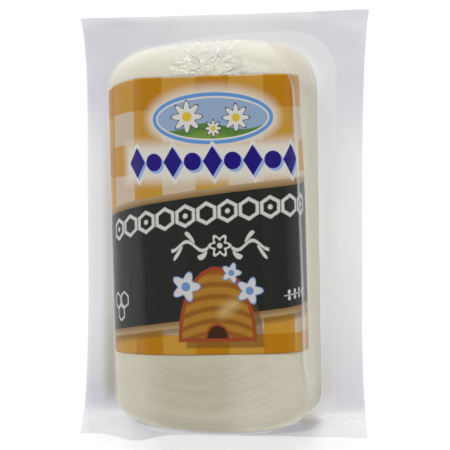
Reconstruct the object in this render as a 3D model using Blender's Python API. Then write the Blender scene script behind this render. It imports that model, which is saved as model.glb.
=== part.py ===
"""A log of fresh goat cheese in a clear sealed pack, lying on its flat back with its front up.

The pack is one closed solid: the film drawn tight over the log, and the sealed rim all round it.
X runs across the pack, Y along the log towards its gathered top end, and Z up out of the front.
"""

import math

import bmesh
import bpy

MM = 0.001

# The log, seen from the front
LOG_HALF_WIDTH = 20.6 * MM
LOG_TOP = 38.1 * MM
LOG_BOTTOM = -40.5 * MM
LOG_HEIGHT = 40.6 * MM
LOG_MIDDLE = 21.0 * MM
LOG_TURN = math.radians(1.5)
LOG_SHIFT = 0.3 * MM

# How square the front is where it turns into the right and the left side; 2 would be round
FRONT_SQUARENESS = (5.5, 2.35)

# How each end rounds over into the front and the sides, at its right and at its left
TOP_ROUND = (9.0 * MM, 6.5 * MM)
BOTTOM_ROUND = (4.6 * MM, 3.8 * MM)

# How far each end falls back from its furthest point by the log's side, and where that point is
TOP_BOW = 1.4 * MM
TOP_BOW_PEAK = 8.0 * MM
BOTTOM_BOW = 1.9 * MM
BOTTOM_BOW_PEAK = 3.0 * MM

# The film below the log's widest level: its walls spread to a foot that sweeps into the rim
SIDE_SPREAD = 1.2 * MM
TOP_SPREAD = (1.6 * MM, 0.2 * MM)
BOTTOM_SPREAD = 0.6 * MM
FOOT_SWEEP = 2.2 * MM
FOOT_SWEEP_HEIGHT = 1.5 * MM

# The sealed rim
FILM = 0.5 * MM
RIM_HALF_WIDTH = 29.8 * MM
RIM_TOP = 45.4 * MM
RIM_BOTTOM = -45.0 * MM
RIM_FLARE = 1.5 * MM
RIM_FLARE_POWER = 5
RIM_TOP_SLOPE = 0.022
RIM_WAVE = 1.6 * MM
RIM_WAVE_AT = -18.0 * MM
RIM_WAVE_WIDTH = 4.6 * MM

# How the rim curls up off the surface that the pack lies on
BOTTOM_FOLD_AT = -39.2 * MM
BOTTOM_FOLD_SLOPE = 0.34
TOP_FOLD_AT = 41.0 * MM
TOP_FOLD_SLOPE = 0.16
CORNER_CURL = 2.6 * MM
CORNER_CURL_FROM = (14.0 * MM, 30.0 * MM)
SIDE_CURL = 0.7 * MM
SIDE_CURL_AT = 25.0 * MM
SIDE_CURL_WAVE = 7.0 * MM

# Gathered folds over the top end, a lip along the bottom end and shallow dents in the front
FOLD_DEPTH = 0.42 * MM
FOLD_COUNT = 11
FOLD_START = 30.5 * MM
FOLD_LENGTH = 6.5 * MM
FOLD_HALF_WIDTH = 13.0 * MM
FOLD_CENTRE = 2.5 * MM
LIP_HEIGHT = 0.35 * MM
LIP_ABOVE_END = 3.4 * MM
LIP_WIDTH = 1.1 * MM
DENT_DEPTH = 0.16 * MM
DENT_SPACING = (5.2 * MM, 9.0 * MM)
RELIEF_BELOW = 4.0 * MM

# How finely each stretch is divided, and how far out the rings across the ridge lie
SIDE_STEPS = 30
END_STEPS = 34
RIM_RINGS = 5
WALL_RINGS = 6
CROWN_RINGS = 14
BACK_RINGS = 3
CROWN_LAST_ANGLE = math.radians(5.0)
FRONT_SHARES = (0.72, 0.45, 0.15)

FILM_COLOUR = (0.80, 0.80, 0.76, 1.0)


def clear_scene():
    for old in list(bpy.data.objects):
        bpy.data.objects.remove(old)


def smooth_step(low, high, value):
    t = min(1.0, max(0.0, (value - low) / (high - low)))
    return t * t * (3.0 - 2.0 * t)


def bell(distance, width):
    return math.exp(-((distance / width) ** 2))


def turned(x, y, share):
    """A point moved with the log, which lies slightly askew in its pack."""
    angle = LOG_TURN * share
    return (
        x * math.cos(angle) - y * math.sin(angle) + LOG_SHIFT * share,
        x * math.sin(angle) + y * math.cos(angle),
    )


def blend(pair, x):
    """A value between an end's right and left ones, at x."""
    share = smooth_step(-LOG_HALF_WIDTH, LOG_HALF_WIDTH, x)
    return pair[1] + (pair[0] - pair[1]) * share


def outline(right, left, top, bottom):
    """A closed outline, anticlockwise from the bottom of the right side.

    right and left are how far it reaches to each side, and top and bottom give an end's Y at any X.
    Points crowd towards the corners, where the ends turn.
    """
    angles = [math.pi * step / END_STEPS for step in range(END_STEPS + 1)]
    across = [0.5 * (right - left) + 0.5 * (right + left) * math.cos(angle) for angle in angles]
    upper = [(x, top(x)) for x in across]
    lower = [(x, bottom(x)) for x in reversed(across)]

    def side(start, stop):
        steps = [step / SIDE_STEPS for step in range(1, SIDE_STEPS)]
        return [(start[0], start[1] + (stop[1] - start[1]) * share) for share in steps]

    return side(lower[-1], upper[0]) + upper + side(upper[-1], lower[0]) + lower


def depth_inside(x, z):
    """How deep a point of the section lies behind the nearest side or the front."""
    if z <= LOG_MIDDLE:
        return wall_half_width(z) - abs(x)
    power = FRONT_SQUARENESS[0] if x > 0.0 else FRONT_SQUARENESS[1]
    across = abs(x) / LOG_HALF_WIDTH
    up = (z - LOG_MIDDLE) / (LOG_HEIGHT - LOG_MIDDLE)
    return (1.0 - (across**power + up**power) ** (1.0 / power)) * LOG_HALF_WIDTH


def end_setback(depth, rounding):
    """How far a rounded end lies behind its furthest reach, this deep behind a side or the front."""
    near = min(rounding, max(0.0, rounding - depth))
    return rounding - math.sqrt(rounding**2 - near**2)


def log_outline(right, left, z):
    """The log's outline at height z, as wide as given, in its skewed place in the pack."""
    foot = max(0.0, 1.0 - z / LOG_MIDDLE)
    sweep = foot_sweep(z)

    def top(x):
        bow = TOP_BOW * ((x - TOP_BOW_PEAK) / LOG_HALF_WIDTH) ** 2
        furthest = LOG_TOP + blend(TOP_SPREAD, x) * foot + sweep - bow
        return furthest - end_setback(depth_inside(x, z), blend(TOP_ROUND, x))

    def bottom(x):
        bow = BOTTOM_BOW * ((x - BOTTOM_BOW_PEAK) / LOG_HALF_WIDTH) ** 2
        furthest = LOG_BOTTOM - BOTTOM_SPREAD * foot - sweep + bow
        return furthest + end_setback(depth_inside(x, z), blend(BOTTOM_ROUND, x))

    share = smooth_step(0.0, LOG_MIDDLE, z)
    return [turned(x, y, share) for x, y in outline(right, left, top, bottom)]


def rim_outline():
    """The rim's cut edge: sides that draw in at mid length, a sloping top and one outward wave."""

    def top(x):
        return RIM_TOP + RIM_TOP_SLOPE * x

    def bottom(x):
        return RIM_BOTTOM - RIM_WAVE * bell(x - RIM_WAVE_AT, RIM_WAVE_WIDTH)

    return [
        (x * (1.0 + RIM_FLARE / RIM_HALF_WIDTH * abs(y / RIM_TOP) ** RIM_FLARE_POWER), y)
        for x, y in outline(RIM_HALF_WIDTH, RIM_HALF_WIDTH, top, bottom)
    ]


def curl(x, y):
    """How far the rim lifts at a point."""
    bottom = BOTTOM_FOLD_SLOPE * max(0.0, BOTTOM_FOLD_AT - y)
    bottom *= 1.0 - 0.45 * bell(x - RIM_WAVE_AT, RIM_WAVE_WIDTH)
    top = TOP_FOLD_SLOPE * max(0.0, y - TOP_FOLD_AT)
    start_x, start_y = CORNER_CURL_FROM
    corner = smooth_step(start_x, RIM_HALF_WIDTH, x) * smooth_step(start_y, RIM_TOP, y)
    side = smooth_step(SIDE_CURL_AT, RIM_HALF_WIDTH, abs(x))
    side *= 1.0 + 0.5 * math.sin(y / SIDE_CURL_WAVE)
    return bottom + top + CORNER_CURL * corner + SIDE_CURL * side


def gathers(x, y):
    """The gathered folds over the top end, which fan out from its middle."""
    along = (y - FOLD_START) / FOLD_LENGTH
    across = (x - FOLD_CENTRE) / FOLD_HALF_WIDTH
    strength = math.sin(math.pi * min(1.0, max(0.0, along))) * bell(across, 0.8)
    fan = across / (1.3 - 0.5 * along)
    return FOLD_DEPTH * strength * math.sin(FOLD_COUNT * fan + 1.5 * math.sin(4.0 * along))


def bottom_lip(x, y):
    """The lip that runs along the bottom end."""
    bow = BOTTOM_BOW * ((x - BOTTOM_BOW_PEAK) / LOG_HALF_WIDTH) ** 2
    return LIP_HEIGHT * bell(y - LOG_BOTTOM - bow - LIP_ABOVE_END, LIP_WIDTH)


def dents(x, y):
    """Shallow dents all over the front."""
    across, along = DENT_SPACING
    return DENT_DEPTH * math.sin(x / across + 0.8) * math.sin(y / along + 0.4 * x / across)


def rim_rings(edge, foot):
    """Rings across the rim from its cut edge to the foot of the wall, as points of the upper face."""
    rings = []
    for ring in range(RIM_RINGS):
        share = (ring / RIM_RINGS) ** 0.85
        points = []
        for (ex, ey), (fx, fy) in zip(edge, foot):
            x, y = ex + (fx - ex) * share, ey + (fy - ey) * share
            points.append((x, y, FILM + curl(x, y) * (1.0 - share**3)))
        rings.append(points)
    return rings


def foot_sweep(z):
    """How far the film's foot sweeps out into the rim at height z."""
    return FOOT_SWEEP * math.exp(-(z - FILM) / FOOT_SWEEP_HEIGHT)


def wall_half_width(z):
    """Half the width of the film at height z, from its widest level down to the foot."""
    return LOG_HALF_WIDTH + SIDE_SPREAD * max(0.0, 1.0 - z / LOG_MIDDLE) + foot_sweep(z)


def wall_rings():
    """Rings up the wall from the foot to just under the log's widest level."""
    rings = []
    for ring in range(WALL_RINGS):
        z = FILM + (LOG_MIDDLE - FILM) * (ring / WALL_RINGS) ** 2.2
        half_width = wall_half_width(z)
        rings.append([(x, y, z) for x, y in log_outline(half_width, half_width, z)])
    return rings


def mirror_index(ring, index):
    """The place in a ring of the point across from this one."""
    lower_middle = len(ring) // 2 + SIDE_STEPS - 1 + END_STEPS // 2
    return (2 * lower_middle - index) % len(ring)


def raised(outline_points, z):
    """Points at height z with the front's low relief."""
    on_front = smooth_step(LOG_MIDDLE, LOG_HEIGHT - RELIEF_BELOW, z)
    return [
        (x, y, z + on_front * (gathers(x, y) + bottom_lip(x, y) + dents(x, y)))
        for x, y in outline_points
    ]


def crown_rings():
    """Rings from the log's widest level up, and then inwards across the front's ridge."""
    rings = []
    for ring in range(CROWN_RINGS):
        share = ring / (CROWN_RINGS - 1)
        angle = 0.5 * math.pi + (CROWN_LAST_ANGLE - 0.5 * math.pi) * share
        up = math.sqrt(abs(math.cos(angle)))
        right, left = [
            LOG_HALF_WIDTH * (1.0 - up**power) ** (1.0 / power) for power in FRONT_SQUARENESS
        ]
        z = LOG_MIDDLE + (LOG_HEIGHT - LOG_MIDDLE) * up
        highest = log_outline(right, left, z)
        rings.append(raised(highest, z))
    for share in FRONT_SHARES:
        drawn_in = []
        for index, (x, y) in enumerate(highest):
            across_x, across_y = highest[mirror_index(highest, index)]
            near, far = 0.5 * (1.0 + share), 0.5 * (1.0 - share)
            drawn_in.append((near * x + far * across_x, near * y + far * across_y))
        rings.append(raised(drawn_in, LOG_HEIGHT + (z - LOG_HEIGHT) * share**2))
    return rings


def back_rings(edge, foot):
    """Rings of the back web from the cut edge inwards, flat under the log."""
    rings = []
    for ring in range(BACK_RINGS):
        share = ring / BACK_RINGS
        points = []
        for (ex, ey), (fx, fy) in zip(edge, foot):
            x, y = ex + (fx - ex) * share, ey + (fy - ey) * share
            points.append((x, y, curl(x, y) * (1.0 - share**3)))
        rings.append(points)
    rings.append([(x, y, 0.0) for x, y in foot])
    return rings


def skin(mesh, rings, flip=False):
    """Joins each ring to the next with four-sided faces and returns the rings' points."""
    made = [[mesh.verts.new(point) for point in ring] for ring in rings]
    for outer, inner in zip(made, made[1:]):
        join(mesh, outer, inner, flip)
    return made


def join(mesh, outer, inner, flip=False):
    count = len(outer)
    for i in range(count):
        face = [outer[i], outer[(i + 1) % count], inner[(i + 1) % count], inner[i]]
        mesh.faces.new(face[::-1] if flip else face)


def close_across(mesh, ring, flip=False):
    """Closes a long ring by joining each point of its right half to the one across from it."""
    half = len(ring) // 2
    lower_middle = half + SIDE_STEPS - 1 + END_STEPS // 2
    for index in range(lower_middle, lower_middle + half):
        here, there = index % len(ring), (index + 1) % len(ring)
        corners = [here, there, mirror_index(ring, there), mirror_index(ring, here)]
        face = [ring[corner] for corner in dict.fromkeys(corners)]
        mesh.faces.new(face[::-1] if flip else face)


def centre_on_base(mesh):
    """Puts the middle of the pack's footprint at the origin."""
    for axis in (0, 1):
        places = [vertex.co[axis] for vertex in mesh.verts]
        middle = 0.5 * (min(places) + max(places))
        for vertex in mesh.verts:
            vertex.co[axis] -= middle


def film_material():
    material = bpy.data.materials.new("clear_film_over_cheese")
    material.use_nodes = True
    shader = material.node_tree.nodes["Principled BSDF"]
    shader.inputs["Base Color"].default_value = FILM_COLOUR
    shader.inputs["Roughness"].default_value = 0.25
    shader.inputs["Metallic"].default_value = 0.0
    return material


def sealed_pack():
    walls = wall_rings()
    foot = [(x, y) for x, y, _ in walls[0]]
    edge = rim_outline()
    mesh = bmesh.new()
    front = skin(mesh, rim_rings(edge, foot) + walls + crown_rings())
    back = skin(mesh, back_rings(edge, foot), flip=True)
    join(mesh, back[0], front[0])
    close_across(mesh, front[-1])
    close_across(mesh, back[-1], flip=True)
    bmesh.ops.triangulate(mesh, faces=mesh.faces[:])
    bmesh.ops.recalc_face_normals(mesh, faces=mesh.faces[:])
    centre_on_base(mesh)
    data = bpy.data.meshes.new("sealed_pack")
    mesh.to_mesh(data)
    mesh.free()
    data.materials.append(film_material())
    data.shade_smooth()
    pack = bpy.data.objects.new("sealed_pack", data)
    bpy.context.scene.collection.objects.link(pack)
    return pack


clear_scene()
sealed_pack()
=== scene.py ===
"""The fresh goat cheese log in its clear sealed pack, as the photo shows it.

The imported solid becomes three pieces: the clear film pouch with its sealed rim, the soft cheese
log inside it and the printed band between them. Lengths are in millimetres until a mesh is made.
"""

import math
import bpy
import numpy as np
from mathutils import Matrix, Vector


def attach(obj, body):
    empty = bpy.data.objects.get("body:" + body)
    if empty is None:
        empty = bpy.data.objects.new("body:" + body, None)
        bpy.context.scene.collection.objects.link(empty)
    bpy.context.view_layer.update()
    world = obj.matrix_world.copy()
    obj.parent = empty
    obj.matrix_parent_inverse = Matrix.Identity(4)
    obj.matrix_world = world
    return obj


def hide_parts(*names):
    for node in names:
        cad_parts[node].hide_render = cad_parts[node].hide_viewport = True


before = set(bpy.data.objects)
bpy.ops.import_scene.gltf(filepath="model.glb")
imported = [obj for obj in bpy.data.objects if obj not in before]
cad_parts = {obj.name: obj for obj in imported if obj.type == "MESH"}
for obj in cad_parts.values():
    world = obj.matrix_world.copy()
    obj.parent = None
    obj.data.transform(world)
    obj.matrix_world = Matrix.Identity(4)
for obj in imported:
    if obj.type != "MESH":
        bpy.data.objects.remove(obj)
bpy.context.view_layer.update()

MM = 0.001

# The log under its film, seen from the front
HALF_WIDTH = 20.6
TOP = 38.1
BOTTOM = -40.5
HEIGHT = 40.6
MIDDLE = 21.0
TURN = math.radians(1.5)
SHIFT = 0.3
SQUARENESS = (5.5, 2.35)
TOP_ROUND = (9.0, 6.5)
BOTTOM_ROUND = (4.6, 3.8)
TOP_BOW = 1.4
TOP_BOW_PEAK = 8.0
BOTTOM_BOW = 1.9
BOTTOM_BOW_PEAK = 3.0

# The film below the log's widest level
SIDE_SPREAD = 1.2
TOP_SPREAD = (1.6, 0.2)
BOTTOM_SPREAD = 0.6
FOOT_SWEEP = 2.2
FOOT_SWEEP_HEIGHT = 1.5

# The sealed rim
RIM_THICKNESS = 0.5
RIM_HALF_WIDTH = 29.8
RIM_TOP = 45.4
RIM_BOTTOM = -45.0
RIM_FLARE = 1.5
RIM_TOP_SLOPE = 0.022
RIM_WAVE = 1.6
RIM_WAVE_AT = -18.0
RIM_WAVE_WIDTH = 4.6
BOTTOM_FOLD_AT = -39.2
BOTTOM_FOLD_SLOPE = 0.34
TOP_FOLD_AT = 41.0
TOP_FOLD_SLOPE = 0.16
CORNER_CURL = 2.6
SIDE_CURL = 0.7

# Where the film is gathered over the top end, and the low lip that it has above the lower edge
GATHER_MIDDLE = (2.5, 30.5)
LIP_BEHIND = 3.4

# The film's mesh
SIDE_STEPS = 130
END_STEPS = 110
RIM_RINGS = 16
WALL_RINGS = 14
CROWN_RINGS = 56
RIDGE_RINGS = 10
BACK_RINGS = 8

# The cheese's and the band's meshes
CHEESE_COLUMNS = 180
CHEESE_MIDDLE_X = 2.0
CHEESE_FLAT_SHARES = (0.08, 0.3, 0.55, 0.8)
CHEESE_ROUND_RINGS = 16
CHEESE_SIDE_RINGS = 70
BAND_COLUMNS = 240
BAND_ROWS = 120

# How far the cheese and the printed band lie inside the film
CHEESE_INSET = 0.42
CHEESE_FOOT_INSET = (0.45, 0.95)
CHEESE_BOTTOM_ROUND = (4.0, 3.8)
CHEESE_UNDERSIDE_SQUARENESS = 8.0
CHEESE_UNDERSIDE_FILL = 0.6
BAND_INSET = 0.33
BAND_THICKNESS = 0.05
BAND_LEFT = -32.4
BAND_RIGHT = 28.5
BAND_RIGHT_TAPER = 3.5
BAND_TOP = 30.9
BAND_BOTTOM = -24.1
BAND_SAG = 1.4

# The side of the square sheet that the band is printed from
SHEET = 100.0

# The photo's camera, with its picture in pixels
PHOTO_SIZE = 450.0
FOCAL_LENGTH = 2152.0
CAMERA_DISTANCE = 464.0
CAMERA_TILT = math.radians(8.0)
CAMERA_LEAN = math.radians(2.0)
CAMERA_RISE = 0.25


def smooth_step(low, high, value):
    t = np.clip((value - low) / (high - low), 0.0, 1.0)
    return t * t * (3.0 - 2.0 * t)


def bell(distance, width):
    return np.exp(-((distance / width) ** 2))


def turned(x, y, share):
    """Points moved with the log, which lies slightly askew in its pack."""
    angle = TURN * share
    return (
        x * np.cos(angle) - y * np.sin(angle) + SHIFT * share,
        x * np.sin(angle) + y * np.cos(angle),
    )


def blend(pair, x):
    """A value between an end's right and left ones, at x."""
    return pair[1] + (pair[0] - pair[1]) * smooth_step(-HALF_WIDTH, HALF_WIDTH, x)


def end_setback(depth, rounding):
    """How far a rounded end lies behind its furthest reach, this deep behind a side or the front."""
    near = np.clip(rounding - depth, 0.0, rounding)
    return rounding - np.sqrt(rounding**2 - near**2)


def top_reach(x):
    return TOP - TOP_BOW * ((x - TOP_BOW_PEAK) / HALF_WIDTH) ** 2


def bottom_reach(x):
    return BOTTOM + BOTTOM_BOW * ((x - BOTTOM_BOW_PEAK) / HALF_WIDTH) ** 2


def foot_sweep(z):
    return FOOT_SWEEP * math.exp(-(z - RIM_THICKNESS) / FOOT_SWEEP_HEIGHT)


def wall_half_width(z):
    return HALF_WIDTH + SIDE_SPREAD * max(0.0, 1.0 - z / MIDDLE) + foot_sweep(z)


def depth_inside(x, z):
    """How deep points of the film's section lie behind the nearest side or the front."""
    if z <= MIDDLE:
        return wall_half_width(z) - np.abs(x)
    power = np.where(x > 0.0, SQUARENESS[0], SQUARENESS[1])
    across = np.abs(x) / HALF_WIDTH
    up = (z - MIDDLE) / (HEIGHT - MIDDLE)
    return (1.0 - (across**power + up**power) ** (1.0 / power)) * HALF_WIDTH


def outline(right, left, top, bottom):
    """A closed outline, anticlockwise from the bottom of the right side."""
    angles = np.linspace(0.0, math.pi, END_STEPS + 1)
    across = 0.5 * (right - left) + 0.5 * (right + left) * np.cos(angles)
    upper = np.column_stack([across, top(across)])
    lower = np.column_stack([across, bottom(across)])[::-1]
    shares = (np.arange(1, SIDE_STEPS) / SIDE_STEPS)[:, None]
    right_side = lower[-1] + (upper[0] - lower[-1]) * shares
    left_side = upper[-1] + (lower[0] - upper[-1]) * shares
    return np.vstack([right_side, upper, left_side, lower])


def log_outline(right, left, z):
    """The film's outline at height z, in the log's skewed place in the pack."""
    foot = max(0.0, 1.0 - z / MIDDLE)
    sweep = foot_sweep(z)

    def top(x):
        furthest = top_reach(x) + blend(TOP_SPREAD, x) * foot + sweep
        return furthest - end_setback(depth_inside(x, z), blend(TOP_ROUND, x))

    def bottom(x):
        furthest = bottom_reach(x) - BOTTOM_SPREAD * foot - sweep
        return furthest + end_setback(depth_inside(x, z), blend(BOTTOM_ROUND, x))

    points = outline(right, left, top, bottom)
    x, y = turned(points[:, 0], points[:, 1], smooth_step(0.0, MIDDLE, z))
    return np.column_stack([x, y])


def rim_outline():
    def top(x):
        return RIM_TOP + RIM_TOP_SLOPE * x

    def bottom(x):
        return RIM_BOTTOM - RIM_WAVE * bell(x - RIM_WAVE_AT, RIM_WAVE_WIDTH)

    points = outline(RIM_HALF_WIDTH, RIM_HALF_WIDTH, top, bottom)
    flare = RIM_FLARE / RIM_HALF_WIDTH * np.abs(points[:, 1] / RIM_TOP) ** 5
    points[:, 0] *= 1.0 + flare
    return points


def curl(x, y):
    """How far the rim lifts off the table."""
    bottom = BOTTOM_FOLD_SLOPE * np.maximum(0.0, BOTTOM_FOLD_AT - y)
    bottom *= 1.0 - 0.45 * bell(x - RIM_WAVE_AT, RIM_WAVE_WIDTH)
    top = TOP_FOLD_SLOPE * np.maximum(0.0, y - TOP_FOLD_AT)
    corner = smooth_step(14.0, RIM_HALF_WIDTH, x) * smooth_step(30.0, RIM_TOP, y)
    side = smooth_step(25.0, RIM_HALF_WIDTH, np.abs(x)) * (1.0 + 0.5 * np.sin(y / 7.0))
    return bottom + top + CORNER_CURL * corner + SIDE_CURL * side


def gathers(x, y):
    """The gathered folds of film over the top end, which fan out from its middle."""
    along = (y - GATHER_MIDDLE[1]) / 6.5
    across = (x - GATHER_MIDDLE[0]) / 13.0
    strength = np.sin(math.pi * np.clip(along, 0.0, 1.0)) * bell(across, 0.8)
    fan = across / (1.3 - 0.5 * along)
    return 0.25 * strength * np.sin(11.0 * fan + 1.5 * np.sin(4.0 * along))


def bottom_lip(x, y):
    return 0.35 * bell(y - bottom_reach(x) - LIP_BEHIND, 1.1)


def swells(x, y):
    """Low swells of the film over the front, which only rise above the band and the cheese."""
    return 0.06 + 0.06 * np.sin(x / 5.2 + 0.8) * np.sin(y / 9.0 + 0.4 * x / 5.2)


def raised(points, z):
    x, y = points[:, 0], points[:, 1]
    on_front = smooth_step(MIDDLE, HEIGHT - 4.0, z)
    relief = gathers(x, y) + bottom_lip(x, y) + swells(x, y)
    return np.column_stack([x, y, z + on_front * relief])


def lower_middle(count):
    """The place in a film ring of the point in the middle of its lower end."""
    return count // 2 + SIDE_STEPS - 1 + END_STEPS // 2


def mirror_index(count, index):
    """The place in a film ring of the point across from this one."""
    return (2 * lower_middle(count) - index) % count


def between(edge, foot, share):
    return edge + (foot - edge) * share


def film_rings():
    """All rings of the pouch: the back web from its middle out, the cut edge, then the front."""
    edge = rim_outline()
    foot = log_outline(wall_half_width(RIM_THICKNESS), wall_half_width(RIM_THICKNESS), RIM_THICKNESS)
    back = [np.column_stack([foot, np.zeros(len(foot))])]
    for ring in reversed(range(BACK_RINGS)):
        share = ring / BACK_RINGS
        points = between(edge, foot, share)
        lift = curl(points[:, 0], points[:, 1]) * (1.0 - share**3)
        back.append(np.column_stack([points, lift]))
    rim = []
    for ring in range(RIM_RINGS):
        share = (ring / RIM_RINGS) ** 0.85
        points = between(edge, foot, share)
        lift = RIM_THICKNESS + curl(points[:, 0], points[:, 1]) * (1.0 - share**3)
        rim.append(np.column_stack([points, lift]))
    walls = []
    for ring in range(WALL_RINGS):
        z = RIM_THICKNESS + (MIDDLE - RIM_THICKNESS) * (ring / WALL_RINGS) ** 2.2
        points = log_outline(wall_half_width(z), wall_half_width(z), z)
        walls.append(np.column_stack([points, np.full(len(points), z)]))
    crown = []
    for angle in np.linspace(math.radians(90.0), math.radians(5.0), CROWN_RINGS):
        up = math.sqrt(abs(math.cos(angle)))
        right, left = [HALF_WIDTH * (1.0 - up**power) ** (1.0 / power) for power in SQUARENESS]
        z = MIDDLE + (HEIGHT - MIDDLE) * up
        highest = log_outline(right, left, z)
        crown.append(raised(highest, z))
    count = len(highest)
    across = highest[mirror_index(count, np.arange(count))]
    for share in np.linspace(0.9, 0.02, RIDGE_RINGS):
        points = 0.5 * (1.0 + share) * highest + 0.5 * (1.0 - share) * across
        crown.append(raised(points, HEIGHT + (z - HEIGHT) * share**2))
    return back, rim, walls, crown


def strip_faces(count, rings, first=0):
    """Four-sided faces between rings of count points that follow each other."""
    faces = []
    for ring in range(rings - 1):
        low = first + ring * count
        for i in range(count):
            j = (i + 1) % count
            faces.append((low + i, low + j, low + count + j, low + count + i))
    return faces


def film_closing(count, first, flip):
    """Faces across a long film ring, each joining a point to the one across from it."""
    start = lower_middle(count)
    faces = []
    for index in range(start, start + count // 2):
        here, there = index % count, (index + 1) % count
        corners = [here, there, mirror_index(count, there), mirror_index(count, here)]
        face = [first + corner for corner in dict.fromkeys(corners)]
        faces.append(face[::-1] if flip else face)
    return faces


def make_piece(name, points, faces, material):
    """A closed smooth piece of the pack, in its place."""
    mesh = bpy.data.meshes.new(name)
    centred = (np.asarray(points) - PACK_CENTRE) * MM
    mesh.from_pydata(centred.tolist(), [], [list(face) for face in faces])
    mesh.validate()
    mesh.materials.append(material)
    mesh.shade_smooth()
    piece = bpy.data.objects.new(name, mesh)
    bpy.context.scene.collection.objects.link(piece)
    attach(piece, "root")
    return piece


def add_values(piece, name, values):
    """Stores one number for each point of a piece, for its material."""
    piece.data.attributes.new(name, "FLOAT", "POINT").data.foreach_set("value", values)


def make_film(material):
    back, rim, walls, crown = film_rings()
    rings = back + rim + walls + crown
    count = len(rings[0])
    points = np.vstack(rings)
    faces = strip_faces(count, len(rings))
    faces += film_closing(count, 0, True)
    faces += film_closing(count, (len(rings) - 1) * count, False)
    film = make_piece("film_pouch", points, faces, material)
    x, y, z = points.T
    front = np.arange(len(points)) >= len(back) * count
    on_rim = np.arange(len(points)) < (len(back) + len(rim)) * count
    # How milky the film looks, plus painted highlights: clear where it lies on the cheese, more so
    # where it stands free
    tent = smooth_step(12.0, 3.0, z)
    cap = smooth_step(30.5, 33.0, y) * smooth_step(18.0, 26.0, z)
    beside = smooth_step(17.0, 22.0, np.abs(x))
    right_side = beside * (x > 0.0)
    # Painted highlight along the rim's bottom fold, and painted light on the rim below it, which tilts
    # up to the light
    fold_line = beside * bell(y + 41.0, 0.85)
    fold_highlight = 0.5 * fold_line + 0.1 * beside * smooth_step(-40.5, -42.0, y)
    # A painted highlight along the log's lower lip
    lip_highlight = bell(y - bottom_reach(x) - 0.35, 0.3) * smooth_step(17.0, 12.0, np.abs(x - 2.0))
    # Over the top end: milky gathered film, with a painted highlight along its ridge and a bright
    # painted spot
    cap_haze_and_highlight = cap * (0.10 + 0.16 * smooth_step(33.0, 36.5, y) * smooth_step(-14.0, -6.0, x))
    cap_haze_and_highlight *= 1.0 - 0.6 * smooth_step(7.0, 10.0, x)
    cap_haze_and_highlight += 0.16 * cap * bell(x - 5.0, 4.5) * bell(y - 36.3, 1.2)
    haze_and_highlights = np.where(on_rim, 0.06 + fold_highlight, 0.05 * tent + cap_haze_and_highlight + 0.4 * lip_highlight * smooth_step(30.0, 34.0, z))
    add_values(film, "haze_and_highlights", np.where(front, haze_and_highlights, 0.0))
    # How grey it looks, with painted shadows and light: the rim is greyest along the top, and clearest
    # beside the log's middle
    grey = 0.58 + 0.35 * smooth_step(33.0, 40.0, y) - (0.08 + 0.07 * right_side) * bell(y, 15.0)
    grey += smooth_step(-15.0, -24.0, x) * (0.08 + 0.2 * bell(y - 32.0, 6.0))
    grey += 0.3 * beside * smooth_step(42.0, 45.0, y) + 0.28 * bell(y - 27.0, 8.0)
    grey += 0.2 * right_side * bell(y - 33.0, 4.0)
    grey += 0.2 * (beside - 0.8 * right_side) * bell(y + 36.0, 3.0)
    grey += 0.25 * smooth_step(-17.0, -33.0, y) - 0.3 * beside * smooth_step(-39.5, -41.5, y)
    grey -= 0.12 * bell(x, 15.0) * smooth_step(36.0, 42.0, y)
    # Painted highlight: lighter along the bottom fold and on the right of the rim below it
    grey -= 0.4 * fold_line + 0.2 * right_side * smooth_step(-38.0, -39.5, y)
    # Shadows: under the log's lower edge and right foot, and down its left side
    under = smooth_step(-4.7, -3.8, y - bottom_reach(x)) * (y < -30.0)
    under *= smooth_step(22.0, 16.0, np.abs(x))
    corner = bell(x - 18.4, 1.8) * bell(y + 41.4, 1.2)
    shaded = smooth_step(-27.0, -24.8, x) * smooth_step(-18.0, -20.0, x) * smooth_step(-39.5, -36.5, y)
    shaded *= 0.32 * smooth_step(20.0, 0.0, y) + 0.06 * smooth_step(-15.0, -25.0, y)
    grey += 1.2 * under
    low_wall = 0.55 * smooth_step(9.0, 1.0, z)
    grey = np.where(on_rim, grey, low_wall) + (1.8 * corner + shaded) * smooth_step(16.0, 8.0, z)
    add_values(film, "grey", grey)
    # How much of the cheese's own cream it shows, where it tents away from the log's sides, with
    # painted shadows added
    left = smooth_step(-27.5, -24.8, x) * smooth_step(-18.0, -20.0, x)
    left *= 0.25 + 0.32 * smooth_step(-12.0, -28.0, y) - 0.2 * smooth_step(15.0, 30.0, y)
    right = smooth_step(25.0, 22.0, x) * smooth_step(18.0, 20.0, x)
    right *= 0.03 + 0.14 * smooth_step(-20.0, -32.0, y)
    cream_and_shade = (left + right) * smooth_step(39.0, 34.0, np.abs(y)) * smooth_step(12.0, 5.0, z)
    cream_and_shade += 0.2 * bell(y + 34.5, 3.0) * smooth_step(19.5, 21.0, x) * smooth_step(26.0, 22.0, x)
    # Painted shadows in the cheese's tint: at the right foot's corner and down the left side
    cream_and_shade += 0.9 * corner + 0.2 * shaded * smooth_step(-27.0, -32.0, y)
    add_values(film, "cream_and_shade", cream_and_shade)
    return film


def section(angles, lower_squareness):
    """The log's section as X and Z at angles from its crown, with the film's own front."""
    sine, cosine = np.sin(angles), np.cos(angles)
    upper = np.where(sine > 0.0, SQUARENESS[0], SQUARENESS[1])
    power = np.where(cosine >= 0.0, upper, lower_squareness)
    x = HALF_WIDTH * np.sign(sine) * np.abs(sine) ** (2.0 / power)
    reach = np.where(cosine >= 0.0, HEIGHT - MIDDLE, MIDDLE)
    z = reach * np.sign(cosine) * np.abs(cosine) ** (2.0 / power)
    return x, z


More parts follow.
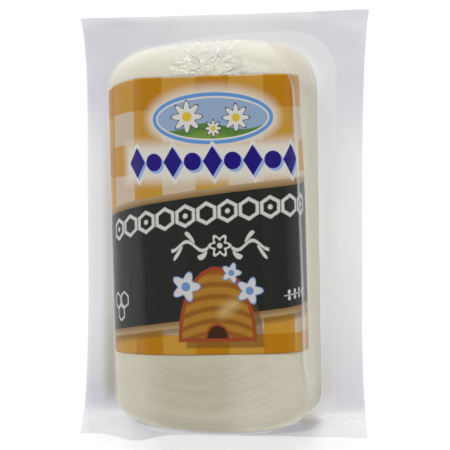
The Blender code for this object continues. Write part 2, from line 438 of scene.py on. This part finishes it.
def cheese_end(section_x, section_z, rounding_pair, share):
    """A ring of a rounded end: share runs from 0 at the flat face's edge to 1 on the side."""
    angle = 0.5 * math.pi * share
    x = section_x
    for _ in range(4):
        rounding = blend(rounding_pair, x)
        depth = rounding * (1.0 - math.sin(angle))
        scale = 1.0 - (depth + CHEESE_INSET) / HALF_WIDTH
        x = section_x * scale
    # The underside has sunk and fills its film
    fill = np.where(section_z < 0.0, CHEESE_UNDERSIDE_FILL, 0.0)
    z = section_z * (scale + (1.0 - CHEESE_INSET / HALF_WIDTH - scale) * fill)
    return x, z, end_setback(depth, rounding)


def cheese_lumps(x, y, z):
    """How far the soft cheese sinks in at a point, in a share of its own width."""
    waves = np.sin(0.31 * x + 0.19 * y + 0.8) * np.sin(0.27 * z + 0.23 * y + 2.1)
    waves += 0.5 * np.sin(0.9 * x - 0.5 * y + 1.7) * np.sin(0.7 * z + 0.8 * y)
    return 0.004 * (waves * 0.5 + 0.5)


def make_cheese(material):
    angles = np.linspace(-math.pi, math.pi, CHEESE_COLUMNS + 1)[:-1]
    shape = section(angles, CHEESE_UNDERSIDE_SQUARENESS)
    rings = []

    def add(x, y, z):
        rings.append(np.column_stack([x, y, z]))

    def top(x, setback):
        return top_reach(x) - setback - CHEESE_INSET

    def bottom(x, setback):
        return bottom_reach(x) + setback + blend(CHEESE_FOOT_INSET, x)

    def flat_end(end, rounding, shares):
        x, z, _ = cheese_end(*shape, rounding, 0.0)
        for share in shares:
            across = CHEESE_MIDDLE_X + (x - CHEESE_MIDDLE_X) * share
            add(across, end(across, 0.0), z * share)

    def round_end(end, rounding, shares):
        for share in shares:
            x, z, setback = cheese_end(*shape, rounding, share)
            add(x, end(x, setback), z)

    flat_end(top, TOP_ROUND, CHEESE_FLAT_SHARES)
    round_end(top, TOP_ROUND, np.linspace(0.0, 1.0, CHEESE_ROUND_RINGS))
    x, z, setback = cheese_end(*shape, TOP_ROUND, 1.0)
    start = top(x, setback)
    _, _, setback = cheese_end(*shape, CHEESE_BOTTOM_ROUND, 1.0)
    stop = bottom(x, setback)
    for share in np.linspace(0.0, 1.0, CHEESE_SIDE_RINGS)[1:-1]:
        add(x, start + (stop - start) * share, z)
    round_end(bottom, CHEESE_BOTTOM_ROUND, np.linspace(1.0, 0.0, CHEESE_ROUND_RINGS))
    flat_end(bottom, CHEESE_BOTTOM_ROUND, CHEESE_FLAT_SHARES[::-1])
    points = np.vstack(rings)
    x, y, z = points.T
    # Below its widest level the soft cheese has spread as far as its film
    low = np.clip(-z / MIDDLE, 0.0, 1.0)
    x = x + np.sign(x) * SIDE_SPREAD * low * smooth_step(0.0, 10.0, np.abs(x))
    spread = np.where(y > 0.0, blend(TOP_SPREAD, x), -BOTTOM_SPREAD)
    y = y + spread * low * smooth_step(20.0, 36.0, np.abs(y))
    scale = 1.0 - cheese_lumps(x, y, z)
    x, y = turned(x * scale, y, 1.0 - 0.5 * low)
    points = np.column_stack([x, y, MIDDLE + z * scale])
    faces = [face[::-1] for face in strip_faces(CHEESE_COLUMNS, len(rings))]
    faces.append(range(CHEESE_COLUMNS))
    faces.append(range(len(points) - 1, len(points) - CHEESE_COLUMNS - 1, -1))
    return make_piece("cheese_log", points, faces, material)


def band_surface(across, along, inset):
    """Points of the band, from how far across its arc and along the log they lie."""
    half = 2000
    angles = np.linspace(-0.5 * math.pi, 0.5 * math.pi, 2 * half + 1)
    x, z = section(angles, CHEESE_UNDERSIDE_SQUARENESS)
    arc = np.concatenate([[0.0], np.cumsum(np.hypot(np.diff(x), np.diff(z)))])
    arc -= arc[half]
    x, z = np.interp(across, arc, x), np.interp(across, arc, z)
    sunk = inset + end_setback(top_reach(x) - along, blend(TOP_ROUND, x))
    scale = 1.0 - sunk / HALF_WIDTH
    # The left side of its upper edge has slipped down
    along = along - BAND_SAG * smooth_step(-11.0, -26.0, across) * smooth_step(-8.0, 31.0, along)
    world_x, world_y = turned(x * scale, along, 1.0)
    return np.column_stack([world_x, world_y, MIDDLE + z * scale])


def make_band(material):
    """The printed band, a thin closed sheet that carries its own flat coordinates."""
    columns, rows = BAND_COLUMNS, BAND_ROWS
    shares, along = np.linspace(0.0, 1.0, columns), np.linspace(BAND_BOTTOM, BAND_TOP, rows)
    share, grid_along = [axis.ravel() for axis in np.meshgrid(shares, along)]
    right = BAND_RIGHT - BAND_RIGHT_TAPER * smooth_step(4.0, 28.0, grid_along)
    grid_across = BAND_LEFT + (right - BAND_LEFT) * share
    outer = band_surface(grid_across, grid_along, BAND_INSET)
    inner = band_surface(grid_across, grid_along, BAND_INSET + BAND_THICKNESS)
    size = columns * rows
    faces = []
    for row in range(rows - 1):
        for column in range(columns - 1):
            a = row * columns + column
            quad = (a, a + 1, a + 1 + columns, a + columns)
            faces.append(quad)
            faces.append(tuple(size + corner for corner in reversed(quad)))
    border = list(range(columns))
    border += [row * columns + columns - 1 for row in range(1, rows)]
    border += [(rows - 1) * columns + column for column in range(columns - 2, -1, -1)]
    border += [row * columns for row in range(rows - 2, 0, -1)]
    for here, there in zip(border, border[1:] + border[:1]):
        faces.append((here, size + here, size + there, there))
    band = make_piece("printed_band", np.vstack([outer, inner]), faces, material)
    flat = np.column_stack([np.tile(grid_across, 2), np.tile(grid_along, 2)]) / SHEET + 0.5
    corners = np.zeros(len(band.data.loops), dtype=np.int32)
    band.data.loops.foreach_get("vertex_index", corners)
    layout = band.data.uv_layers.new(name="Print")
    layout.data.foreach_set("uv", flat[corners].ravel())
    return band


class Value:
    """A number in a shader, so that its arithmetic reads as plain Python."""

    def __init__(self, shader, socket):
        self.shader = shader
        self.socket = socket

    def _do(self, operation, *others):
        return self.shader.maths(operation, self, *others)

    def __add__(self, other):
        return self._do("ADD", other)

    __radd__ = __add__

    def __sub__(self, other):
        return self._do("SUBTRACT", other)

    def __rsub__(self, other):
        return self.shader.maths("SUBTRACT", other, self)

    def __mul__(self, other):
        return self._do("MULTIPLY", other)

    __rmul__ = __mul__

    def __truediv__(self, other):
        return self._do("DIVIDE", other)

    def __rtruediv__(self, other):
        return self.shader.maths("DIVIDE", other, self)

    def __pow__(self, other):
        return self._do("POWER", other)

    def __neg__(self):
        return self * -1.0

    def __abs__(self):
        return self._do("ABSOLUTE")

    def sin(self):
        return self._do("SINE")

    def cos(self):
        return self._do("COSINE")

    def sqrt(self):
        return self._do("SQRT")

    def fraction(self):
        return self._do("FRACT")

    def at_least(self, other):
        return self._do("MAXIMUM", other)

    def at_most(self, other):
        return self._do("MINIMUM", other)

    def over(self, other):
        return self._do("GREATER_THAN", other)

    def rise(self, low, high):
        """Smoothly 0 to 1 as the value goes from low to high."""
        return self.shader.rise(self, low, high)


class Shader:
    """A material's or the world's node tree, with short ways to add to it."""

    def __init__(self, tree):
        self.tree = tree
        tree.nodes.clear()

    def node(self, kind, settings=None, **values):
        made = self.tree.nodes.new(kind)
        for name, setting in (settings or {}).items():
            setattr(made, name, setting)
        for name, value in values.items():
            self.feed(made.inputs[name.replace("_", " ")], value)
        return made

    def feed(self, socket, value):
        if isinstance(value, Value):
            self.tree.links.new(value.socket, socket)
        elif isinstance(value, bpy.types.NodeSocket):
            self.tree.links.new(value, socket)
        else:
            socket.default_value = value

    def value(self, socket):
        return Value(self, socket)

    def maths(self, operation, *values):
        made = self.node("ShaderNodeMath", {"operation": operation})
        for socket, value in zip(made.inputs, values):
            self.feed(socket, value)
        return self.value(made.outputs[0])

    def rise(self, value, low, high):
        made = self.node("ShaderNodeMapRange", {"interpolation_type": "SMOOTHSTEP"})
        for name, number in (("Value", value), ("From Min", low), ("From Max", high)):
            self.feed(made.inputs[name], number)
        return self.value(made.outputs["Result"])

    def mix(self, share, first, second):
        """The second colour over the first by share."""
        made = self.node("ShaderNodeMix", {"data_type": "RGBA"})
        for socket, value in ((0, share), (6, first), (7, second)):
            self.feed(made.inputs[socket], value)
        return made.outputs[2]

    def scaled(self, colour, strength):
        """A colour made lighter or darker by a number."""
        made = self.node("ShaderNodeVectorMath", {"operation": "SCALE"})
        self.feed(made.inputs[0], colour)
        self.feed(made.inputs["Scale"], strength)
        return made.outputs[0]

    def split(self, vector):
        made = self.node("ShaderNodeSeparateXYZ", Vector=vector)
        return [self.value(output) for output in made.outputs]

    def vector(self, x, y, z=0.0):
        return self.node("ShaderNodeCombineXYZ", X=x, Y=y, Z=z).outputs[0]

    def place(self):
        """The point on the piece, in millimetres."""
        spot = self.node("ShaderNodeTexCoord").outputs["Object"]
        return self.scaled(spot, 1.0 / MM)

    def attribute(self, name):
        made = self.node("ShaderNodeAttribute", {"attribute_name": name})
        return self.value(made.outputs["Fac"])

    def noise(self, where, scale, detail=2.0, roughness=0.5):
        made = self.node("ShaderNodeTexNoise", Vector=where, Scale=scale, Detail=detail)
        made.inputs["Roughness"].default_value = roughness
        return self.value(made.outputs[0])

    def bump(self, height, distance, strength=1.0):
        made = self.node("ShaderNodeBump", Height=height, Strength=strength)
        made.inputs["Distance"].default_value = distance * MM
        return made.outputs[0]

    def clear(self, tint):
        made = self.node("ShaderNodeBsdfTransparent")
        made.inputs["Color"].default_value = tint
        return made.outputs[0]

    def blend(self, share, first, second):
        """The second surface over the first by share."""
        made = self.node("ShaderNodeMixShader", Fac=share)
        self.tree.links.new(first, made.inputs[1])
        self.tree.links.new(second, made.inputs[2])
        return made.outputs[0]

    def finish(self, surface):
        out = self.node("ShaderNodeOutputMaterial")
        self.tree.links.new(surface, out.inputs["Surface"])


def new_material(name):
    material = bpy.data.materials.new(name)
    material.use_nodes = True
    return material, Shader(material.node_tree)


def colour(red, green, blue):
    """A screen colour, 0 to 255, as the shader's own."""

    def linear(part):
        part /= 255.0
        return part / 12.92 if part <= 0.04045 else ((part + 0.055) / 1.055) ** 2.4

    return (linear(red), linear(green), linear(blue), 1.0)


def cap_folds(s, x, y, z):
    """The film's crumples over the top end: their height, and painted white highlights along their
    creases.
    """
    shoulder = y.rise(30.0, 32.0) * z.rise(18.0, 28.0)
    across, along = x - GATHER_MIDDLE[0], y - GATHER_MIDDLE[1]
    away = (across * across + along * along).sqrt()
    rays = s.noise(s.vector(across / away * 3.2, along / away * 3.2, away * 0.10), 1.0, 2.0, 0.5)
    crumple = s.noise(s.vector(x * 1.1 + rays * 3.0, y * 1.6 + rays * 2.0, z * 0.7), 0.26, 2.5, 0.55)
    rays, crumple = abs(rays - 0.5), abs(crumple - 0.5)
    near = away.rise(11.0, 5.0)
    height = shoulder * near * (rays * 2.6 * away.rise(0.5, 5.0) + crumple * 4.2)
    lines = shoulder * near * (rays.rise(0.02, 0.0) * away.rise(2.0, 5.0) + crumple.rise(0.016, 0.0))
    return height, lines


def stretch_lines(s, x, y, z):
    """The height of the lines that hang across the lower front like smiles."""
    below = y.rise(-23.0, -27.0) * z.rise(12.0, 25.0)
    across, along = (x - 2.0) / 1.3, y + 16.0
    radius = (across * across + along * along).sqrt()
    wobble = s.noise(s.vector(x, y), 0.13, 2.0) * 9.0
    patches = s.noise(s.vector(x, y), 0.11, 2.0)
    lines = (radius * 2.3 + wobble).sin() * patches.rise(0.35, 0.7)
    lines = lines + 0.35 * (radius * 5.2 - wobble).sin() * patches.rise(0.65, 0.3)
    return below * lines * 0.34


def film_material():
    material, s = new_material("clear_film")
    x, y, z = s.split(s.place())
    folds, lines = cap_folds(s, x, y, z)
    # Broad slackness everywhere
    slack = s.noise(s.place(), 0.09, 3.0) * 1.4
    normal = s.bump(folds + stretch_lines(s, x, y, z) + slack, 0.35)
    # The long crease where the front turns into the right side, and bends over the top end, with a
    # painted highlight along it
    bend = (y - 27.5).at_least(0.0)
    crease = x - 20.15 + y * 0.03 + (y * 0.021 + 0.3) * (y * 0.021 + 0.3) * 0.6
    crease = crease + bend * bend * 0.05 - y.rise(-24.0, -36.0) * 0.9
    line = abs(crease).rise(0.32, 0.05) * z.rise(20.0, 26.0) * y.rise(-39.0, -35.0) * y.rise(37.0, 33.0)
    line = line * (0.36 - 0.2 * y.rise(-26.0, -32.0) - 0.16 * y.rise(28.0, 31.0))
    beyond = crease.rise(0.0, 0.5) * z.rise(14.0, 20.0)
    facing = s.value(s.node("ShaderNodeLayerWeight", Blend=0.5, Normal=normal).outputs["Facing"])
    gloss = (0.04 + 0.55 * facing**5.0) * (0.3 + 0.7 * z.rise(1.0, 12.0)) * (1.0 - 0.5 * beyond)
    gloss = gloss * (1.0 + 0.3 * y.rise(30.5, 32.5) - 0.8 * y.rise(-33.0, -36.0))
    right_side = (x + 7.0 * y.rise(29.0, 31.0)).rise(13.0, 18.0)
    gloss = gloss * (1.0 - 0.6 * right_side - 0.4 * x.rise(-12.0, -17.0))
    # Milky haze with its painted highlights, plus painted highlights along the crumples' creases
    milk_and_glints = s.attribute("haze_and_highlights") * (0.8 + 0.4 * s.noise(s.place(), 0.3, 3.0)) + lines * 0.3
    milk_and_glints = milk_and_glints * (1.0 - 0.7 * beyond)
    cover = milk_and_glints + gloss + line + beyond * crease.rise(3.0, 0.5) * z.rise(24.0, 28.0) * 0.12
    skin = s.node("ShaderNodeBsdfPrincipled", Metallic=(gloss / cover.at_least(0.001)).at_most(1.0))
    skin.inputs["Roughness"].default_value = 0.16
    milky = s.mix(y.rise(30.0, 32.0), (0.86, 0.87, 0.90, 1.0), (0.88, 0.875, 0.835, 1.0))
    s.feed(skin.inputs["Base Color"], milky)
    skin.inputs["Specular IOR Level"].default_value = 0.0
    s.feed(skin.inputs["Normal"], normal)
    # The grey tint, which also carries the painted shadows and the fold's painted highlight
    grey = (s.attribute("grey") * 0.6).at_most(1.0)
    clear = s.clear((0.985, 0.985, 0.98, 1.0))
    clear = s.blend(grey, clear, s.clear((0.735, 0.738, 0.772, 1.0)))
    # Painted shade in the cheese's tint beyond the crease, strongest over the top end
    cream_and_shade = s.attribute("cream_and_shade") + beyond * (0.03 + 0.27 * y.rise(25.0, 32.0))
    clear = s.blend(cream_and_shade.at_most(1.0), clear, s.clear((0.72, 0.68, 0.615, 1.0)))
    s.finish(s.blend(cover.at_most(1.0), clear, skin.outputs[0]))
    return material


def cheese_material():
    material, s = new_material("fresh_cheese")
    where = s.place()
    broad = s.noise(where, 0.08, 3.0)
    grain = s.noise(where, 1.1, 4.0, 0.65)
    x, y, z = s.split(where)
    base = s.mix(broad, (0.62, 0.585, 0.45, 1.0), (0.68, 0.645, 0.52, 1.0))
    base = s.mix(grain.rise(0.35, 0.75) * 0.25, base, (0.74, 0.71, 0.60, 1.0))
    # Painted light and shade: whiter at the top end, which faces the light, but less so on its right,
    # and darker in the middle of the lower front
    base = s.mix(y.rise(29.0, 31.0), base, (0.75, 0.725, 0.61, 1.0))
    cap_shade = abs(x - 10.5).rise(7.0, 3.0) * y.rise(29.0, 31.0) * y.rise(36.0, 33.5)
    base = s.scaled(base, 1.0 - 0.12 * cap_shade)
    base = s.mix(abs(x + 0.5).rise(12.0, 4.0) * y.rise(-20.0, -28.0), base, (0.55, 0.51, 0.385, 1.0))
    shader = s.node("ShaderNodeBsdfPrincipled", Roughness=0.5)
    s.feed(shader.inputs["Base Color"], base)
    shader.inputs["Specular IOR Level"].default_value = 0.2
    folds = cap_folds(s, x, y, z)[0] + stretch_lines(s, x, y, z)
    s.feed(shader.inputs["Normal"], s.bump(grain * 0.25 + broad * 0.5 + folds, 0.3))
    s.finish(shader.outputs[0])
    return material


# How much of a printed colour the studio's light and the film over it bring back
PRINT_LIGHT = 0.815


def shade(red, green, blue):
    """A printed colour, from what it should look like in the photo's light, 0 to 255."""
    return (*(part / PRINT_LIGHT for part in colour(red, green, blue)[:3]), 1.0)


# The print's measures, in millimetres on its sheet
GINGHAM_CHECK = (13.65, 12.7)
MEDALLION = (3.5, 22.5)
ROW_MIDDLE = 14.1
ROW_PITCH = 4.06
COMB_PITCH = 4.3
LEAF_PITCH = 2.5
SPRIG_PITCH = 1.5
HIVE = (3.5, -21.2)

# The print's colours
GINGHAM_LIGHT = shade(184, 166, 142)
GINGHAM_MEDIUM = shade(178, 132, 48)
GINGHAM_DARK = shade(168, 112, 8)
GLOW = shade(205, 200, 190)
BOARD = shade(36, 37, 34)
WOOD = shade(160, 138, 100)
WOOD_DARK = shade(128, 100, 62)
SHADOW = shade(92, 66, 36)
RING = shade(90, 135, 190)
SKY = shade(135, 154, 180)
LEAF_GREEN = shade(80, 116, 56)
GRASS = shade(128, 152, 62)
PALE = shade(200, 198, 192)
OUTLINE = shade(52, 50, 50)
POLLEN = shade(196, 172, 50)
NAVY = shade(32, 20, 110)
SHADOW_BLUE = shade(138, 158, 200)
CHALK = shade(196, 196, 192)
HIVE_AMBER = shade(158, 112, 42)
HIVE_DARK = shade(132, 84, 30)
HIVE_EDGE = shade(141, 66, 34)
HIVE_SHINE = shade(196, 172, 122)
DOOR = shade(58, 38, 24)
CLOTH_BLUE = shade(98, 130, 176)
CLOTH_WHITE = shade(190, 188, 188)


class Print:
    """The band's artwork, drawn in millimetres across and along the band."""

    def __init__(self, s):
        self.s = s
        flat = s.node("ShaderNodeUVMap", {"uv_map": "Print"}).outputs[0]
        u, v, _ = s.split(flat)
        self.u = (u - 0.5) * SHEET
        self.v = (v - 0.5) * SHEET
        self.ink = None

    def lay(self, mask, ink):
        """Prints a colour over what is there."""
        self.ink = self.s.mix(mask, self.ink, ink)

    def inside(self, distance, soft=0.12):
        """1 where a signed distance is negative, with a soft edge."""
        return distance.rise(0.5 * soft, -0.5 * soft)

    def ellipse(self, u, v, centre, half_width, half_height):
        """Nearly the signed distance to an ellipse, in millimetres."""
        across, along = (u - centre[0]) / half_width, (v - centre[1]) / half_height
        reach = (across * across + along * along).sqrt()
        across, along = across / half_width, along / half_height
        return reach * (reach - 1.0) / (across * across + along * along).sqrt().at_least(0.001)

    def gingham(self):
        u, v = self.u, self.v
        across = ((u + 0.49 - v * 0.0225) / GINGHAM_CHECK[0]).fraction()
        along = ((30.8 - v) / GINGHAM_CHECK[1]).fraction()
        dark_column = across.rise(0.001, 0.02) * across.rise(0.51, 0.49)
        dark_row = along.rise(0.001, 0.02) * along.rise(0.51, 0.49)
        self.ink = self.s.mix((dark_column + dark_row).at_most(1.0), GINGHAM_LIGHT, GINGHAM_MEDIUM)
        self.lay(dark_column * dark_row, GINGHAM_DARK)

    def glow(self):
        """The pale glow behind the upper ornaments."""
        round_medallion = self.ellipse(self.u, self.v, MEDALLION, 13.4, 6.2)
        beside = abs(self.u - 3.3) - 19.3
        above = abs(self.v - ROW_MIDDLE) - 3.9
        nearest = round_medallion.at_most(beside.at_least(above))
        self.lay(self.inside(nearest, 3.4) * 0.93, GLOW)

    def board(self):
        """The black board between its two wooden strips, with a shadow under the lower one."""
        u, v = self.u, self.v
        over_top = v - (7.1 + 0.115 * u - 0.0011 * u * u)
        under_bottom = (0.108 * u - 16.9 - 0.0004 * u * u) - v
        self.lay(under_bottom.rise(-0.5, 0.5) * under_bottom.rise(3.1, 1.9) * 0.62, SHADOW)
        outside = over_top.at_least(under_bottom)
        strip = self.s.mix(outside.rise(0.0, 1.4), WOOD_DARK, WOOD)
        self.lay(outside.rise(1.42, 1.28), strip)
        self.lay(outside.rise(0.1, -0.05), BOARD)

    def flower(self, centre, radius, petals, petal_ink, outline_ink, heart_ink):
        across, along = self.u - centre[0], self.v - centre[1]
        away = (across * across + along * along).sqrt()
        angle = self.s.maths("ARCTAN2", along, across)
        edge = away - radius * (0.78 + 0.22 * (angle * float(petals)).cos())
        self.lay(self.inside(edge - 0.16), outline_ink)
        self.lay(self.inside(edge + 0.1), petal_ink)
        self.lay(self.inside(away - 0.30 * radius), heart_ink)

    def medallion(self):
        u, v = self.u, self.v
        edge = self.ellipse(u, v, MEDALLION, 12.3, 5.1)
        self.lay(self.inside(edge), RING)
        self.lay(self.inside(edge + 0.75), PALE)
        inner = self.inside(edge + 1.1)
        self.lay(inner, SKY)
        hill = 20.9 + 0.7 * (u * 0.42 + 0.6).sin() - v
        self.lay(inner * self.inside(-hill), LEAF_GREEN)
        self.lay(inner * self.inside(-hill + 1.7, 1.5) * 0.55, GRASS)
        for centre, radius in (((-1.6, 22.9), 3.2), ((8.3, 22.5), 2.75), ((3.7, 20.5), 1.7)):
            self.flower(centre, radius, 8, PALE, OUTLINE, POLLEN)

    def row(self):
        """The row of lozenges and discs below the medallion."""

        def nearest(u, v):
            cell = (u + 14.9) / ROW_PITCH
            across = abs((cell.fraction() - 0.5) * ROW_PITCH)
            along = abs(v - ROW_MIDDLE)
            lozenge = (across / 1.95 + along / 3.05 - 1.0) * 1.6
            disc = (across * across + along * along).sqrt() - 1.75
            odd = (cell * 0.5).fraction().over(0.5)
            shape = lozenge + (disc - lozenge) * odd
            return shape.at_least(abs(u - 3.35) - 18.2)

        shape = nearest(self.u, self.v)
        shadow = nearest(self.u - 0.45, self.v + 0.45)
        self.lay(self.inside(shape.at_most(shadow) - 0.55, 0.3), PALE)
        self.lay(self.inside(shadow - 0.05), SHADOW_BLUE)
        self.lay(self.inside(shape), NAVY)

    def hexagon(self, across, along, radius):
        """The signed distance to a hexagon that stands on a corner."""
        across, along = abs(across), abs(along)
        return across.at_least(across * 0.5 + along * 0.866) - radius

    def chalk(self):
        u, v = self.u, self.v
        grain = self.s.noise(self.s.vector(u, v), 3.2, 3.0, 0.7)
        rough = (grain - 0.5) * 0.7
        # A chain of comb cells along the board
        cell = (u + 21.8) / COMB_PITCH
        across = (cell.fraction() - 0.5) * COMB_PITCH
        along = v - (3.65 + 0.105 * u - 0.0018 * u * u)
        comb = self.hexagon(across, along, 1.7)
        dots = (across * across + along * along).sqrt() - 0.5
        dots = dots + (cell * 0.5).fraction().over(0.5) * 9.0
        marks = (abs(comb) - 0.34).at_most(dots).at_least(abs(u - 2.0) - 23.6)
        # Three more cells in the board's lower left corner
        for centre in ((-21.2, -13.6), (-18.1, -13.3), (-19.7, -16.0)):
            corner = self.hexagon(u - centre[0], v - centre[1], 1.35)
            marks = marks.at_most(abs(corner) - 0.18)
        # A leafy vine below the chain, the same to the left and the right
        across, along = abs(u - 4.4), v + 2.6
        above = along - 0.9 * (across + 1.2).sin()
        vine = (abs(above) - 0.34).at_least(across - 9.9).at_least(2.3 - across)
        step = (across - 2.3) / LEAF_PITCH
        leaf_across = (step.fraction() - 0.5) * LEAF_PITCH
        way = (step * 0.5).fraction().over(0.5) * 2.0 - 1.0
        leaf_along = above * way - 1.2
        tilted_across = leaf_across * 0.82 + leaf_along * 0.57
        tilted_along = leaf_along * 0.82 - leaf_across * 0.57
        leaf = self.ellipse(tilted_across, tilted_along, (0.0, 0.0), 1.15, 0.5)
        leaves = leaf.at_least(across - 9.8).at_least(2.3 - across)
        angle = self.s.maths("ARCTAN2", along, across)
        away = (across * across + along * along).sqrt()
        bud = abs(away - 2.1 * (0.8 + 0.2 * (angle * 6.0).cos())) - 0.3
        bud = bud.at_most(away - 0.55)
        marks = marks.at_most(vine).at_most(leaves).at_most(bud)
        # A sprig in the lower right corner
        stem_across, stem_along = u - 20.6, v + 12.4 - (u - 20.6) * 0.12
        stem = (abs(stem_along) - 0.1).at_least(abs(stem_across) - 3.4)
        step = (stem_across / SPRIG_PITCH).fraction() - 0.5
        leaf = self.ellipse(step * SPRIG_PITCH, abs(stem_along) - 0.62, (0.0, 0.0), 0.35, 0.42)
        marks = marks.at_most(stem.at_most(leaf.at_least(abs(stem_across) - 3.0)))
        chalky = self.inside(marks + rough * 0.5, 0.22) * (0.55 + grain * 0.8).at_most(1.0)
        self.lay(chalky, CHALK)

    def hive(self):
        """The straw hive that stands over the lower strip, with its cast shadow and blossoms."""

        def dome(u, v):
            return self.ellipse(u, v, HIVE, 7.9, 14.4).at_least(HIVE[1] - 0.3 - v)

        u, v = self.u, self.v
        self.lay(self.inside(dome(u - 1.5, v + 1.3), 0.5) * 0.62, SHADOW)
        body = dome(u, v)
        scribble = self.s.noise(self.s.vector(u, v), 1.4, 3.0, 0.6) - 0.5
        self.lay(self.inside(body + scribble * 0.5 - 0.05, 0.3), HIVE_EDGE)
        across = u - HIVE[0]
        coil = ((v + across * across * 0.035 + scribble * 0.25) * 2.62).sin()
        straw = self.s.mix(coil.rise(-0.9, 0.5), HIVE_DARK, HIVE_AMBER)
        shine = self.ellipse(u * 0.8 + v * 0.6, v * 0.8 - u * 0.6, (-4.2, -15.5), 2.6, 1.2)
        straw = self.s.mix(shine.rise(1.2, -1.4) * 0.55, straw, HIVE_SHINE)
        self.lay(self.inside(body + scribble * 0.5 + 0.75, 0.3), straw)
        door = self.ellipse(u, v, (HIVE[0], HIVE[1] + 0.2), 2.1, 2.6)
        self.lay(self.inside(door - 0.45, 0.3) * self.inside(HIVE[1] + 0.3 - v), HIVE_EDGE)
        self.lay(self.inside(door, 0.3) * self.inside(HIVE[1] + 0.3 - v), DOOR)
        for centre, radius in (((-2.7, -10.6), 3.0), ((10.2, -11.6), 2.7), ((6.6, -8.0), 2.0)):
            self.flower(centre, radius, 5, CLOTH_WHITE, CLOTH_BLUE, CLOTH_BLUE)

    def draw(self):
        self.gingham()
        self.glow()
        self.board()
        self.medallion()
        self.row()
        self.chalk()
        self.hive()


def band_material():
    material, s = new_material("printed_band")
    art = Print(s)
    art.draw()
    shader = s.node("ShaderNodeBsdfPrincipled", Roughness=0.4)
    shader.inputs["Specular IOR Level"].default_value = 0.05
    s.feed(shader.inputs["Base Color"], art.ink)
    s.finish(shader.outputs[0])
    return material


def floor_material():
    material, s = new_material("pale_table")
    shader = s.node("ShaderNodeBsdfPrincipled", Roughness=0.9)
    shader.inputs["Base Color"].default_value = (0.9, 0.9, 0.9, 1.0)
    shader.inputs["Emission Color"].default_value = (1.0, 1.0, 1.0, 1.0)
    shader.inputs["Emission Strength"].default_value = 0.35
    s.finish(shader.outputs[0])
    return material


def make_studio():
    mesh = bpy.data.meshes.new("table")
    size = 2.0
    corners = [(-size, -size), (size, -size), (size, size), (-size, size)]
    mesh.from_pydata([(x, y, -0.0003) for x, y in corners], [], [(0, 1, 2, 3)])
    mesh.materials.append(floor_material())
    table = bpy.data.objects.new("table", mesh)
    bpy.context.scene.collection.objects.link(table)

    add_lamp("high_window", (0.0, 1.0, 0.95), (1.2, 0.6), 12.0)
    add_lamp("low_window", (-0.05, -1.0, 0.8), (1.2, 0.5), 6.9)

    world = bpy.data.worlds.new("studio")
    world.use_nodes = True
    bpy.context.scene.world = world
    s = Shader(world.node_tree)
    x, y, z = s.split(s.node("ShaderNodeTexCoord").outputs["Generated"])
    side = abs(x).rise(0.84, 0.97)
    strength = 0.06 + 0.12 * abs(x + 0.03).rise(0.14, 0.20) + 0.75 * side
    strength = strength + 0.3 * abs(y).rise(0.5, 0.9) + 0.8 * y.rise(0.65, 0.95)
    backdrop = s.node("ShaderNodeBackground", Strength=strength)
    backdrop.inputs["Color"].default_value = (0.97, 0.97, 1.0, 1.0)
    out = s.node("ShaderNodeOutputWorld")
    s.tree.links.new(backdrop.outputs[0], out.inputs["Surface"])


def add_lamp(name, place, size, watts):
    """A soft rectangular light that faces the pack."""
    lamp = bpy.data.lights.new(name, "AREA")
    lamp.shape = "RECTANGLE"
    lamp.size, lamp.size_y = size
    lamp.energy = watts
    light = bpy.data.objects.new(name, lamp)
    light.location = place
    light.rotation_euler = (-light.location).to_track_quat("-Z", "Y").to_euler()
    bpy.context.scene.collection.objects.link(light)


def make_camera():
    level = math.cos(CAMERA_LEAN)
    back = Vector((math.sin(CAMERA_TILT) * level, math.sin(CAMERA_LEAN), math.cos(CAMERA_TILT) * level))
    right = Vector((0.0, 1.0, 0.0)).cross(back).normalized()
    up = back.cross(right)
    lens = bpy.data.cameras.new("photo_camera")
    lens.sensor_width = 36.0
    lens.lens = FOCAL_LENGTH / PHOTO_SIZE * lens.sensor_width
    lens.shift_y = 1.0 / PHOTO_SIZE
    lens.clip_start = 0.01
    camera = bpy.data.objects.new("photo_camera", lens)
    place = Matrix.Identity(4)
    for row in range(3):
        place[row][0], place[row][1], place[row][2] = right[row], up[row], back[row]
    place.translation = (back * CAMERA_DISTANCE + Vector((0.0, CAMERA_RISE, 0.0))) * MM
    camera.matrix_world = place
    bpy.context.scene.collection.objects.link(camera)
    bpy.context.scene.camera = camera


edge = rim_outline()
PACK_CENTRE = np.array([*(0.5 * (edge.min(axis=0) + edge.max(axis=0))), 0.0])
bpy.context.scene.view_settings.view_transform = "Standard"
film = make_film(film_material())
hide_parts("sealed_pack")
for piece in (make_cheese(cheese_material()), make_band(band_material())):
    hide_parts("sealed_pack")
make_studio()
make_camera()
